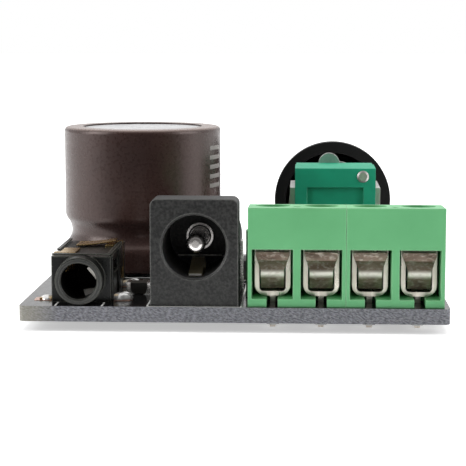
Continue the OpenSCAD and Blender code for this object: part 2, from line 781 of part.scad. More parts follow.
// Shrunk sleeve, open at the top and under the foot
module capacitor_sleeve() {
    color([0.33, 0.28, 0.27]) translate([cap_x, cap_y, 0]) rotate_extrude() difference() {
        cap_section(0);
        cap_section(sleeve_t);
        square([cap_r - 2.2, cap_z1 + cut]);
    }
}

module capacitor_bung() {
    color([0.1, 0.1, 0.1]) translate([cap_x, cap_y, 0]) difference() {
        translate([0, 0, cap_z0 + 0.3]) cylinder(r = bung_r, h = bung_h - 0.3);
        for (s = [-1, 1]) translate([s * lead_pitch / 2, 0, cap_z0]) cylinder(d = lead_d, h = bung_h + cut);
    }
}

module capacitor_leads() {
    color([0.75, 0.76, 0.78]) for (s = [-1, 1]) {
        translate([cap_x + s * lead_pitch / 2, cap_y, tail_z]) cylinder(d = lead_d, h = cap_z0 + bung_h - tail_z);
    }
}

// Green switch housing at the back, with a recessed panel
module pot_switch_housing() {
    panel = [0.35 * pot_w, 0.3 * pot_h];
    panel_depth = 0.4;
    color([0.07, 0.5, 0.38]) translate([pot_x, 0, pot_standoff + pot_h / 2]) difference() {
        block([-pot_w / 2, switch_y0, -pot_h / 2], [pot_w / 2, gang_y0, pot_h / 2]);
        block([-panel[0], switch_y0 - cut, -panel[1]], [panel[0], switch_y0 + panel_depth, panel[1]]);
    }
}

// Heads of the two rivets that hold the switch together
module pot_rivets() {
    at = [pot_w / 2 - 1.5, pot_h / 2 - 0.95];
    r = 0.7;
    h = 0.2;
    color([0.62, 0.56, 0.55]) for (s = [-1, 1]) {
        translate([pot_x + s * at[0], 0, 0]) turned_y(switch_y0 - h, pot_standoff + pot_h / 2 + s * at[1])
            polygon([[0, 0], [r - 0.2, 0], [r, h / 2], [r, h], [0, h]]);
    }
}

// Resistor housing between the switch and the front plate
module pot_gang_housing() {
    color([0.3, 0.2, 0.12]) translate([pot_x, 0, 0]) {
        along_y(gang_y0, plate_back) translate([-pot_w / 2 + gang_waist, pot_standoff + gang_waist])
            square([pot_w - 2 * gang_waist, pot_h - 2 * gang_waist]);
    }
}

// Steel frame: front plate with a locating lug, and two arms that hold the housings and plug into the board
module pot_frame() {
    lug_r = 1.3;
    lug_rise = 1.1;
    plate_top_w = pot_w - 0.8;
    color([0.7, 0.68, 0.68]) translate([pot_x, 0, 0]) {
        difference() {
            along_y(plate_back, plate_face) {
                translate([-pot_w / 2 - frame_t, pot_standoff]) square([pot_w + 2 * frame_t, arm_h - pot_standoff]);
                translate([-plate_top_w / 2, pot_standoff]) square([plate_top_w, pot_h - 0.5]);
                translate([-0.6, pot_z1 + lug_rise - lug_r]) circle(lug_r);
            }
            rod_y(bush_r + skin_gap, plate_back - cut, plate_face + cut, shaft_z);
        }
        for (s = [-1, 1]) {
            along_x(s * arm_x - frame_t / 2, s * arm_x + frame_t / 2) {
                translate([switch_y0 + 1, 0]) square([plate_back + cut - switch_y0 - 1, arm_h]);
                translate([tab_y - 0.6, tail_z]) square([1.2, 0.6 - tail_z]);
            }
        }
    }
}

// Threaded bushing that carries the shaft
module pot_bushing() {
    color([0.72, 0.7, 0.66]) translate([pot_x, 0, 0]) turned_y(plate_back, shaft_z) difference() {
        union() {
            square([bush_r, frame_t + bush_l]);
            translate([0, frame_t]) square([bush_r + 1, flange_t]);
        }
        translate([0, -cut]) square([shaft_r + shaft_play, frame_t + bush_l + 2 * cut]);
    }
}

// Solder pins of the switch and of the two resistor tracks
module pot_terminals() {
    color([0.75, 0.76, 0.78]) for (p = POT_PINS) {
        top = p[1] < gang_y0 ? pot_standoff : pot_standoff + gang_waist;
        block([p[0] - p[2], p[1] - p[3], tail_z], [p[0] + p[2], p[1] + p[3], top]);
    }
}

module pot_washer() {
    color([0.75, 0.74, 0.72]) translate([pot_x, 0, 0]) turned_y(plate_face + flange_t, shaft_z)
        translate([bush_r + washer_gap, 0]) square([washer_w, washer_t]);
}

module pot_nut() {
    y0 = plate_face + flange_t + washer_t;
    corner_r = bush_nut_w / sqrt(3);
    color([0.75, 0.74, 0.72]) translate([pot_x, 0, 0]) difference() {
        translate([0, y0, shaft_z]) rotate([-90, 30, 0]) cylinder(r = corner_r, h = bush_nut_t, $fn = 6);
        rod_y(bush_r + fit_gap, y0 - cut, y0 + bush_nut_t + cut, shaft_z);
    }
}

// Round shaft with a split end
module pot_shaft() {
    split_l = 6;
    split_w = 1;
    color([0.74, 0.74, 0.76]) translate([pot_x, 0, 0]) difference() {
        rod_y(shaft_r, plate_back + fit_gap, plate_face + shaft_l, shaft_z);
        block(
            [-split_w / 2, plate_face + shaft_l - split_l, shaft_z - shaft_d],
            [split_w / 2, plate_face + shaft_l + cut, shaft_z + shaft_d]
        );
    }
}

// Hollow knob with a skirt, a central boss, a ribbed grip that narrows towards its face and a pointer line
module volume_knob() {
    flutes = 28;
    flute_w = 0.6;
    flute_out = 0.2;
    flute_start = 0.8;
    pointer_w = 0.8;
    pointer_depth = 0.4;
    pointer_in = 1.5;
    face_t = 2;
    edge = 0.8;
    skirt_l = 1.8;
    grip = [knob_r - 0.5, skirt_l + 0.3];
    tip = [0.82 * knob_r, knob_l - edge];
    lean = atan2(grip[0] - tip[0], tip[1] - grip[1]);
    color([0.08, 0.08, 0.08]) translate([pot_x, 0, 0]) difference() {
        turned_y(knob_y0, shaft_z) difference() {
            polygon([
                [0, 0],
                [knob_r, 0],
                [knob_r, skirt_l],
                grip,
                tip,
                [tip[0] - edge, knob_l],
                [0, knob_l]
            ]);
            polygon([
                [boss_r, -cut],
                [knob_r - knob_wall, -cut],
                [tip[0] - 0.8 * knob_wall, knob_l - face_t],
                [boss_r, knob_l - face_t]
            ]);
            translate([0, -cut]) square([shaft_r + skin_gap, knob_bore_end - knob_y0 + cut]);
        }
        for (i = [0:flutes - 1]) {
            translate([0, knob_y0, shaft_z]) rotate([0, i * 360 / flutes, 0])
                translate([grip[0] + flute_out, grip[1], 0]) rotate([0, 45, lean])
                    block([-flute_w / 2, flute_start, -flute_w / 2], [flute_w / 2, knob_l, flute_w / 2]);
        }
        block(
            [-pointer_w / 2, knob_end - pointer_depth, shaft_z + pointer_in],
            [pointer_w / 2, knob_end + cut, shaft_z + knob_r + cut]
        );
    }
}

// Moulded chip body with drafted sides and a round mark at its first lead
module amplifier_chip() {
    foot = 0.1;
    draft = 0.12;
    color([0.1, 0.1, 0.11]) translate([chip_x, chip_y, 0]) difference() {
        along_x(-chip_w / 2, chip_w / 2) polygon([
            [-chip_l / 2 + draft, foot],
            [chip_l / 2 - draft, foot],
            [chip_l / 2, chip_h / 2],
            [chip_l / 2 - draft, chip_h],
            [-chip_l / 2 + draft, chip_h],
            [-chip_l / 2, chip_h / 2]
        ]);
        translate([-chip_w / 2 + 1, -chip_l / 2 + 1, chip_h - 0.1]) cylinder(r = 0.4, h = 1);
    }
}

module amplifier_chip_leads() {
    color([0.78, 0.78, 0.8]) for (s = [0, 1], i = [0:lead_n - 1]) {
        x = (i - (lead_n - 1) / 2) * chip_pitch;
        translate([chip_x, chip_y, 0]) mirror([0, s, 0]) along_x(x - lead_w / 2, x + lead_w / 2)
            polygon(ribbon([
                [chip_l / 2, chip_h / 2],
                [chip_l / 2 + 0.35, chip_h / 2],
                [chip_l / 2 + 0.5, lead_t / 2],
                [chip_l / 2 + 1, lead_t / 2]
            ], lead_t));
    }
}

// Centre of inductor i
function coil_x(i) = coil_x0 + i * coil_step;

// Shielded inductors: a square shell with cut corners and a round core set in its top
module filter_inductors() {
    bevel = 0.6;
    h = coil_w / 2;
    color([0.16, 0.16, 0.17]) for (i = [0:3]) translate([coil_x(i), coil_y, 0]) difference() {
        along_z(0.1, coil_h) polygon([
            [-h + bevel, -h],
            [h - bevel, -h],
            [h, -h + bevel],
            [h, h - bevel],
            [h - bevel, h],
            [-h + bevel, h],
            [-h, h - bevel],
            [-h, -h + bevel]
        ]);
        translate([0, 0, coil_h - 0.3]) rotate_extrude() translate([0.72 * h, 0]) square([0.15, 1]);
        for (s = [0, 1]) mirror([s, 0, 0]) block([h - 1.5 * clip_t, -clip_w / 2, -cut], [h + cut, clip_w / 2, clip_h]);
    }
}

// Soldered clips at the two ends of each inductor
module inductor_clips() {
    color([0.78, 0.78, 0.8]) for (i = [0:3], s = [0, 1]) {
        translate([coil_x(i), coil_y, 0]) mirror([s, 0, 0])
            along_y(-clip_w / 2, clip_w / 2) polygon(ribbon([
                [coil_w / 2 - clip_l, clip_t / 2],
                [coil_w / 2 - clip_t, clip_t / 2],
                [coil_w / 2 - clip_t, clip_h]
            ], clip_t));
    }
}

// Ceramic bodies of the small surface parts, and their metal ends
module chip_part_bodies() {
    color([0.25, 0.22, 0.2]) for (c = CHIP_PARTS) {
        half = c[2] / 2 - chip_end_l;
        block([c[0] - half, c[1] - c[3] / 2 + 0.03, 0.05], [c[0] + half, c[1] + c[3] / 2 - 0.03, c[4] - 0.03]);
    }
}

module chip_part_ends() {
    color([0.78, 0.78, 0.8]) for (c = CHIP_PARTS, s = [-1, 1]) {
        middle = c[0] + s * (c[2] - chip_end_l) / 2;
        block(
            [middle - chip_end_l / 2, c[1] - c[3] / 2, 0],
            [middle + chip_end_l / 2, c[1] + c[3] / 2, c[4]]
        );
    }
}

place() {
    circuit_board();
    solder_joints();
    audio_jack_housing();
    audio_jack_sleeve_contact();
    audio_jack_ring_contact();
    audio_jack_tip_contact();
    dc_jack_housing();
    dc_jack_center_pin();
    dc_jack_pin_lug();
    dc_jack_spring_contact();
    dc_jack_side_contact();
    terminal_block_left();
    terminal_block_right();
    for (i = [1:4]) {
        terminal_cage(i);
        wire_guard(i);
        clamp_screw(i);
    }
    capacitor_can();
    capacitor_sleeve();
    capacitor_bung();
    capacitor_leads();
    pot_switch_housing();
    pot_rivets();
    pot_gang_housing();
    pot_frame();
    pot_bushing();
    pot_terminals();
    pot_washer();
    pot_nut();
    pot_shaft();
    volume_knob();
    amplifier_chip();
    amplifier_chip_leads();
    filter_inductors();
    inductor_clips();
    chip_part_bodies();
    chip_part_ends();
}
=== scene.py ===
"""Looks of the audio amplifier board: camera, studio light, materials and details that the CAD lacks."""
import json
import math

import bmesh
import bpy
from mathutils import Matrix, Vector


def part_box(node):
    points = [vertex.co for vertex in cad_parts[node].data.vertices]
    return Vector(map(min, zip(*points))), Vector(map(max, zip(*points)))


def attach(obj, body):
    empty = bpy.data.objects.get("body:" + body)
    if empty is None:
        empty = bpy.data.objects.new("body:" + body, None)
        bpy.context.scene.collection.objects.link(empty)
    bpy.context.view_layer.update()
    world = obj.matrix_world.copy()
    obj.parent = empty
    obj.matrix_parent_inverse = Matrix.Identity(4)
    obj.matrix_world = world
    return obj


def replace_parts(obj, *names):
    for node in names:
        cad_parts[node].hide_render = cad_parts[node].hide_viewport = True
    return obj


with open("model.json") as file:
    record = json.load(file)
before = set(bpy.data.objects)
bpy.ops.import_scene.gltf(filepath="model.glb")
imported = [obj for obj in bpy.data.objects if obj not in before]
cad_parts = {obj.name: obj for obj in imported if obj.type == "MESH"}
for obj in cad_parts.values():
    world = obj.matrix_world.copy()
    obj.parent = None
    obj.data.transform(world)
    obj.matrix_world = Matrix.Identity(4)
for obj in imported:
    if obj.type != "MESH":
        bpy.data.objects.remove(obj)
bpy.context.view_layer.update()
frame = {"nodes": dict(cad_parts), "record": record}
nodes = frame["nodes"]
scene = bpy.context.scene
scene.view_settings.view_transform = "Standard"

MM = 0.001
board_low, board_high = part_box("circuit_board")


def at(x, y, z):
    """Point in millimetres from the middle of the connector edge, along it, inwards and up from the board."""
    return Vector((x * MM, board_low.y + y * MM, board_high.z + z * MM))


def tone(red, green, blue):
    """Linear colour of a shade given in display values from 0 to 255."""
    def linear(value):
        value /= 255
        return value / 12.92 if value <= 0.04045 else ((value + 0.055) / 1.055) ** 2.4
    return (linear(red), linear(green), linear(blue), 1.0)


# Camera

IMAGE_PX = 466
FOCAL_PX = 1500
SENSOR_MM = 36
CAMERA_PLACE = (7.2, -150, 27.2)
CAMERA_DOWN = 7.42
CAMERA_LEFT = 2.75


def make_camera():
    """Camera fitted to the photo; its place is in board millimetres and its turns are in degrees."""
    data = bpy.data.cameras.new("camera")
    data.sensor_width = SENSOR_MM
    data.lens = SENSOR_MM * FOCAL_PX / IMAGE_PX
    data.clip_start = 0.01
    data.clip_end = 20
    camera = bpy.data.objects.new("camera", data)
    camera.location = at(*CAMERA_PLACE)
    camera.rotation_euler = (math.radians(90 - CAMERA_DOWN), 0, math.radians(CAMERA_LEFT))
    scene.collection.objects.link(camera)
    scene.camera = camera


# Shader nodes

def add_node(tree, kind, inputs, **settings):
    """New node whose inputs are sockets to link or plain values."""
    node = tree.nodes.new(kind)
    for name, value in settings.items():
        setattr(node, name, value)
    for name, value in inputs.items():
        if isinstance(value, bpy.types.NodeSocket):
            tree.links.new(value, node.inputs[name])
        else:
            node.inputs[name].default_value = value
    return node


def add_maths(tree, operation, first, second=0.0):
    return add_node(tree, "ShaderNodeMath", {0: first, 1: second}, operation=operation).outputs[0]


def add_range(tree, value, low, high, start=0.0, end=1.0):
    """Value between low and high becomes start to end, and stays there outside."""
    inputs = {"Value": value, "From Min": low, "From Max": high, "To Min": start, "To Max": end}
    return add_node(tree, "ShaderNodeMapRange", inputs).outputs[0]


def coordinate(tree, vector, axis):
    """One of the three numbers of a vector socket."""
    return add_node(tree, "ShaderNodeSeparateXYZ", {0: vector}).outputs[axis]


def seen_directly(tree, *rays):
    """Socket that is 1 for the named kinds of ray, and 0 for the light that falls on surfaces."""
    path = tree.nodes.new("ShaderNodeLightPath")
    total = path.outputs[rays[0]]
    for ray in rays[1:]:
        total = add_maths(tree, "MAXIMUM", total, path.outputs[ray])
    return total


# Studio light, floor and backdrop

WHITE = (1, 1, 1, 1)
SHOWN_RAYS = ("Is Camera Ray", "Is Glossy Ray", "Is Transmission Ray")
LAMP_AIM = Vector((0, 0, 0.008))


def make_world():
    """White studio that is darker behind the photographer, so that gloss has something to show."""
    behind, ahead = -0.8, 0.2
    level_behind, level_on_surfaces = 0.12, 0.62
    world = bpy.data.worlds.new("studio")
    world.use_nodes = True
    tree = world.node_tree
    direction = tree.nodes.new("ShaderNodeTexCoord").outputs["Generated"]
    room = add_range(tree, coordinate(tree, direction, "Y"), behind, ahead, level_behind, 1.0)
    backdrop = {"Factor": seen_directly(tree, "Is Camera Ray"), "A": room, "B": 1.0}
    white = add_node(tree, "ShaderNodeMix", backdrop).outputs["Result"]
    levels = {"Factor": seen_directly(tree, *SHOWN_RAYS), "A": level_on_surfaces, "B": 1.0}
    level = add_node(tree, "ShaderNodeMix", levels).outputs["Result"]
    background = tree.nodes["Background"]
    background.inputs["Color"].default_value = WHITE
    tree.links.new(add_maths(tree, "MULTIPLY", white, level), background.inputs["Strength"])
    scene.world = world


def softbox(name, place, size, watts, in_gloss=True):
    """Large area lamp that faces the middle of the board, and shows in glossy parts or not."""
    data = bpy.data.lights.new(name, "AREA")
    data.shape = "RECTANGLE"
    data.size, data.size_y = size
    data.energy = watts
    lamp = bpy.data.objects.new(name, data)
    lamp.location = place
    lamp.rotation_euler = (LAMP_AIM - lamp.location).to_track_quat("-Z", "Y").to_euler()
    lamp.visible_camera = False
    lamp.visible_glossy = in_gloss
    scene.collection.objects.link(lamp)


def make_lights():
    """One lamp on each side of the board, and one above it that glossy parts don't show."""
    softbox("softbox_left", place=(-0.42, -0.16, 0.2), size=(0.3, 0.36), watts=1.6)
    softbox("softbox_right", place=(0.42, -0.1, 0.2), size=(0.3, 0.36), watts=1.25)
    softbox("softbox_top", place=(0.0, 0.05, 0.5), size=(0.5, 0.4), watts=1.5, in_gloss=False)


def dim_in_gloss(tree, place, shader):
    """Lets glossy parts see a dark room in front of the board, as they do in the photo."""
    dark_start, dark_full = -0.05, -0.08
    ahead = add_range(tree, coordinate(tree, place, "Y"), dark_start, dark_full)
    share = add_maths(tree, "MULTIPLY", ahead, seen_directly(tree, "Is Glossy Ray"))
    dark = add_node(tree, "ShaderNodeBsdfDiffuse", {"Color": (0.04, 0.04, 0.04, 1)})
    blend = add_node(tree, "ShaderNodeMixShader", {0: share, 1: shader.outputs[0], 2: dark.outputs[0]})
    tree.links.new(blend.outputs[0], tree.nodes["Material Output"].inputs["Surface"])


def make_floor():
    """Pale floor that keeps the shadow, with what it lacks of white added for the camera."""
    half = 2.5
    near, far = 0.04, 0.5
    glow_near, glow_far = 0.46, 0.9
    mesh = bpy.data.meshes.new("floor")
    corners = [(-half, -half, 0), (half, -half, 0), (half, half, 0), (-half, half, 0)]
    mesh.from_pydata(corners, [], [(0, 1, 2, 3)])
    floor = bpy.data.objects.new("floor", mesh)
    scene.collection.objects.link(floor)
    material = bpy.data.materials.new("floor_paper")
    material.use_nodes = True
    tree = material.node_tree
    shader = tree.nodes["Principled BSDF"]
    shader.inputs["Base Color"].default_value = (0.9, 0.9, 0.9, 1)
    shader.inputs["Roughness"].default_value = 0.9
    shader.inputs["Specular IOR Level"].default_value = 0.0
    shader.inputs["Emission Color"].default_value = WHITE
    place = tree.nodes.new("ShaderNodeTexCoord").outputs["Object"]
    distance = add_node(tree, "ShaderNodeVectorMath", {0: place}, operation="LENGTH").outputs["Value"]
    glow = add_range(tree, distance, near, far, glow_near, glow_far)
    lift = add_maths(tree, "MULTIPLY", seen_directly(tree, *SHOWN_RAYS), glow)
    tree.links.new(lift, shader.inputs["Emission Strength"])
    dim_in_gloss(tree, place, shader)
    mesh.materials.append(material)


# Materials

FINISH_PREFIX = "finish_"
BEVEL_SAMPLES = 4
# Places of the colour sockets on a Mix node, whose sockets share their names
COLOUR_A, COLOUR_B, COLOUR_RESULT = 6, 7, 2
# Parts of a noise's range that are spread over the whole effect
NOISE_BAND = (0.3, 0.7)
WIDE_BAND = (0.25, 0.75)


class Finish:
    """A procedural material: one Principled shader and the nodes that feed it, in the object's own metres."""

    def __init__(self, name, **constants):
        self.material = bpy.data.materials.new(FINISH_PREFIX + name)
        self.material.use_nodes = True
        self.tree = self.material.node_tree
        self.shader = self.tree.nodes["Principled BSDF"]
        for socket, value in constants.items():
            self.shader.inputs[socket.replace("_", " ")].default_value = value
        self.place = self.tree.nodes.new("ShaderNodeTexCoord").outputs["Object"]

    def add(self, kind, inputs, **settings):
        return add_node(self.tree, kind, inputs, **settings)

    def maths(self, operation, first, second=0.0):
        return add_maths(self.tree, operation, first, second)

    def ranged(self, value, low, high, start=0.0, end=1.0):
        return add_range(self.tree, value, low, high, start, end)

    def along(self, axis):
        """Place on one axis, in metres."""
        return coordinate(self.tree, self.place, axis)

    def normal(self):
        return self.tree.nodes.new("ShaderNodeNewGeometry").outputs["Normal"]

    def facing(self, axis):
        """How far the surface faces along an axis, from -1 to 1."""
        return coordinate(self.tree, self.normal(), axis)

    def stretched(self, scale, place=None):
        """Coordinates scaled apart along the axes, for grain that runs one way."""
        return self.add("ShaderNodeMapping", {"Vector": place or self.place, "Scale": scale}).outputs[0]

    def noise(self, scale, detail=3.0, place=None):
        inputs = {"Vector": place or self.place, "Scale": scale, "Detail": detail}
        return self.add("ShaderNodeTexNoise", inputs).outputs["Fac"]

    def grain(self, stretch, detail):
        """Noise that is stretched along the axes."""
        return self.noise(1.0, detail, self.stretched(stretch))

    def mixed(self, factor, first, second):
        """Blend of two colours, each a socket or plain."""
        inputs = {"Factor": factor, COLOUR_A: first, COLOUR_B: second}
        return self.add("ShaderNodeMix", inputs, data_type="RGBA").outputs[COLOUR_RESULT]

    def rounded(self, radius):
        """Normals that round every edge by a radius in millimetres."""
        return self.add("ShaderNodeBevel", {"Radius": radius * MM}, samples=BEVEL_SAMPLES).outputs[0]

    def edges(self, radius):
        """1 on edges sharper than the radius, 0 on flat ground."""
        flat, sharp = 0.97, 0.75
        vectors = {0: self.rounded(radius), 1: self.normal()}
        turn = self.add("ShaderNodeVectorMath", vectors, operation="DOT_PRODUCT").outputs["Value"]
        return self.ranged(turn, flat, sharp)

    def colour(self, socket):
        self.tree.links.new(socket, self.shader.inputs["Base Color"])

    def roughness(self, socket):
        self.tree.links.new(socket, self.shader.inputs["Roughness"])

    def metallic(self, socket):
        self.tree.links.new(socket, self.shader.inputs["Metallic"])

    def bump(self, height, depth, rounding=0.0):
        """Relief of that depth in millimetres, on edges that catch light over that rounding."""
        inputs = {"Height": height, "Distance": depth * MM}
        if rounding > 0:
            inputs["Normal"] = self.rounded(rounding)
        relief = self.add("ShaderNodeBump", inputs).outputs[0]
        self.tree.links.new(relief, self.shader.inputs["Normal"])


def plastic(name, base, dark, light, rough, grain, depth, speckle=0.0, gloss=0.5):
    """Moulded plastic: cloudy shade, painted highlights on the edges and a fine grain of the given size in
    millimetres.
    """
    edge_r, edge_highlight_share, rounding, swing = 0.25, 0.6, 0.15, 0.08
    speckle_band = (0.38, 0.66)
    finish = Finish(name, Specular_IOR_Level=gloss)
    clouds = finish.ranged(finish.noise(scale=260.0), *NOISE_BAND)
    ground = finish.mixed(clouds, tone(*dark), tone(*base))
    fine = finish.noise(scale=1.0 / (grain * MM), detail=2.0)
    # Painted highlight: the edges are mixed towards the light shade, as if they caught the lamps
    edge_highlight = finish.maths("MULTIPLY", finish.edges(edge_r), edge_highlight_share)
    paler = finish.maths("ADD", edge_highlight, finish.ranged(fine, *speckle_band, start=0.0, end=speckle))
    finish.colour(finish.mixed(paler, ground, tone(*light)))
    finish.roughness(finish.ranged(fine, *WIDE_BAND, rough - swing, rough + swing))
    finish.bump(fine, depth, rounding)
    return finish.material


def metal(name, base, dark, rough, streaks, depth=0.004, tarnish=0.5, shine=1.0):
    """Sheet or drawn metal: tarnish in patches, and rolling streaks along the given stretch."""
    patch_band, streak_band = (0.35, 0.7), (0.3, 0.8)
    wear, rounding = 0.35, 0.08
    smoother, rougher = 0.07, 0.1
    finish = Finish(name, Metallic=shine)
    patches = finish.ranged(finish.noise(scale=700.0, detail=5.0), *patch_band, start=0.0, end=tarnish)
    lines = finish.grain(streaks, detail=4.0)
    worn = finish.maths("MULTIPLY", finish.ranged(lines, *streak_band), wear)
    finish.colour(finish.mixed(finish.maths("ADD", patches, worn), (*base, 1), (*dark, 1)))
    finish.roughness(finish.ranged(lines, *WIDE_BAND, rough - smoother, rough + rougher))
    finish.bump(lines, depth, rounding)
    return finish.material


def guard_metal():
    """Stamped spring sheet, dented and dark, with paler scuffs, painted shade up the flap and a painted
    highlight on the crest.
    """
    dark_sheet, pale_sheet = (0.22, 0.15, 0.11, 1), (0.47, 0.36, 0.29, 1)
    # Painted shade for the upper flap, and painted highlight for the crest
    flap_painted_shade = (0.12, 0.085, 0.07, 1)
    crest_highlight = (0.94, 0.89, 0.81, 1)
    scuff_shade = (0.72, 0.64, 0.56, 1)
    crest_up, crest_half, crest_end = 1.65 * MM, 0.15 * MM, 0.5 * MM
    flap_start, flap_end, flap_shade_share = 1.0 * MM, 3.0 * MM, 0.8
    sheet_shine, crest_highlight_shine = 0.75, 0.15
    scuff_band, scuff_share, scuff_relief = (0.5, 0.68), 0.6, 0.3
    finish = Finish("guard_metal")
    crest_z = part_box("wire_guard_1")[0].z + crest_up
    dents = finish.grain(stretch=(500.0, 500.0, 1300.0), detail=4.0)
    scuffs = finish.ranged(finish.grain(stretch=(2000.0, 1600.0, 3600.0), detail=5.0), *scuff_band)
    height = finish.along("Z")
    off_crest = finish.maths("ABSOLUTE", finish.maths("SUBTRACT", height, crest_z))
    # Painted highlight in a band round the crest, and painted shade growing up the flap above it
    crest = finish.ranged(off_crest, crest_end, crest_half)
    flap = finish.ranged(height, crest_z + flap_start, crest_z + flap_end, 0.0, flap_shade_share)
    sheet = finish.mixed(finish.ranged(dents, *NOISE_BAND), dark_sheet, pale_sheet)
    sheet = finish.mixed(flap, sheet, flap_painted_shade)
    sheet = finish.mixed(crest, sheet, crest_highlight)
    finish.colour(finish.mixed(finish.maths("MULTIPLY", scuffs, scuff_share), sheet, scuff_shade))
    # Less metallic on the crest, so that its painted highlight shows
    finish.metallic(finish.ranged(crest, 0.0, 1.0, sheet_shine, crest_highlight_shine))
    finish.roughness(finish.ranged(dents, *NOISE_BAND, start=0.3, end=0.44))
    relief = finish.maths("ADD", dents, finish.maths("MULTIPLY", scuffs, scuff_relief))
    finish.bump(relief, depth=0.05, rounding=0.1)
    return finish.material


def woven_glass(finish, weave):
    """Colour of the cut laminate: grey strokes, pale fibres, and beige towards the left end."""
    beige_start, beige_full, beige_share = 4 * MM, 1 * MM, 0.5
    stroke_band, fibre_band = (0.36, 0.64), (0.55, 0.85)
    fibres = finish.noise(scale=5200.0, detail=2.0)
    glass = finish.mixed(finish.ranged(weave, *stroke_band), tone(80, 81, 87), tone(134, 135, 142))
    glass = finish.mixed(finish.ranged(fibres, *fibre_band), glass, tone(158, 157, 156))
    left = board_low.x
    beige = finish.ranged(finish.along("X"), left + beige_start, left + beige_full, 0.0, beige_share)
    return finish.mixed(beige, glass, tone(168, 164, 146))


def board_laminate():
    """Black gloss mask on both faces and bare woven laminate on the cut edges."""
    slant, thread_scale = math.radians(-18), (2700.0, 2700.0, 7400.0)
    level_start, level_full = 0.5, 0.9
    edge_rough, face_relief = 0.5, 0.1
    finish = Finish("board_laminate", Specular_IOR_Level=0.6)
    face = finish.ranged(finish.maths("ABSOLUTE", finish.facing("Z")), level_start, level_full)
    slanted = finish.add("ShaderNodeMapping", {"Vector": finish.place, "Rotation": (0, slant, 0)}).outputs[0]
    weave = finish.noise(scale=1.0, detail=1.5, place=finish.stretched(thread_scale, slanted))
    clouds = finish.ranged(finish.noise(scale=420.0), *NOISE_BAND)
    mask = finish.mixed(clouds, tone(14, 14, 15), tone(22, 22, 24))
    finish.colour(finish.mixed(face, woven_glass(finish, weave), mask))
    face_rough = finish.ranged(finish.noise(scale=1500.0), *NOISE_BAND, start=0.14, end=0.22)
    finish.roughness(finish.maths("ADD", face_rough, finish.ranged(face, 0.0, 1.0, edge_rough, 0.0)))
    relief = finish.maths("MULTIPLY", weave, finish.ranged(face, 0.0, 1.0, 1.0, face_relief))
    finish.bump(relief, depth=0.08)
    return finish.material


def sleeve_plastic():
    """Brown shrink sleeve with slight waves from shrinking, and a rim painted paler as a reflection of the
    sky.
    """
    rim_start, rim_full, fine_share = 0.5, 0.95, 0.05
    finish = Finish("sleeve_plastic", Specular_IOR_Level=0.55, Specular_Tint=(1.0, 0.84, 0.8, 1.0))
    clouds = finish.ranged(finish.noise(scale=160.0), *NOISE_BAND)
    ground = finish.mixed(clouds, tone(44, 30, 28), tone(60, 42, 38))
    # Painted reflection: faces that look up are mixed towards a pale shade, as if they mirrored the sky
    rim = finish.ranged(finish.facing("Z"), rim_start, rim_full)
    finish.colour(finish.mixed(rim, ground, tone(128, 112, 106)))
    waves = finish.grain(stretch=(140.0, 140.0, 420.0), detail=2.0)
    fine = finish.noise(scale=2600.0, detail=2.0)
    finish.roughness(finish.ranged(fine, *NOISE_BAND, start=0.24, end=0.34))
    relief = finish.maths("ADD", waves, finish.maths("MULTIPLY", fine, fine_share))
    finish.bump(relief, depth=0.04, rounding=0.3)
    return finish.material


def make_plastics():
    """Moulded, rubber, ceramic and printed finishes: display shades, and grain and depth in millimetres."""
    # Each light shade is that of the speckle and of the painted highlights on edges
    return [
        plastic("jack_plastic", base=(18, 19, 17), dark=(13, 14, 13), light=(138, 139, 129),
                rough=0.32, grain=0.18, depth=0.008, gloss=0.3),
        plastic("nose_plastic", base=(36, 37, 35), dark=(28, 29, 27), light=(112, 113, 106),
                rough=0.4, grain=0.18, depth=0.02),
        plastic("power_plastic", base=(11, 11, 11), dark=(6, 6, 6), light=(150, 150, 146),
                rough=0.52, grain=0.28, depth=0.05, speckle=0.08),
        plastic("clamp_plastic", base=(107, 187, 127), dark=(100, 179, 120), light=(164, 216, 168),
                rough=0.42, grain=0.3, depth=0.005),
        plastic("bung_rubber", base=(30, 29, 28), dark=(22, 21, 21), light=(48, 46, 45),
                rough=0.7, grain=0.25, depth=0.02),
        plastic("switch_plastic", base=(18, 162, 124), dark=(13, 146, 112), light=(66, 166, 136),
                rough=0.55, grain=0.4, depth=0.005),
        plastic("phenolic", base=(18, 162, 124), dark=(14, 142, 108), light=(80, 172, 144),
                rough=0.5, grain=0.25, depth=0.02),
        plastic("knob_plastic", base=(11, 12, 12), dark=(7, 8, 8), light=(36, 38, 38),
                rough=0.55, grain=0.15, depth=0.006, gloss=0.3),
        plastic("chip_plastic", base=(32, 32, 34), dark=(24, 24, 26), light=(58, 58, 60),
                rough=0.55, grain=0.12, depth=0.01),
        plastic("ferrite", base=(58, 57, 58), dark=(44, 43, 45), light=(96, 95, 95),
                rough=0.62, grain=0.15, depth=0.02),
        plastic("ceramic_body", base=(62, 58, 54), dark=(48, 45, 42), light=(112, 104, 96),
                rough=0.5, grain=0.2, depth=0.006),
        plastic("white_ink", base=(226, 226, 222), dark=(206, 206, 202), light=(236, 236, 232),
                rough=0.6, grain=0.1, depth=0.004),
        plastic("grey_ink", base=(158, 152, 149), dark=(128, 122, 119), light=(172, 166, 162),
                rough=0.5, grain=0.1, depth=0.004),
    ]


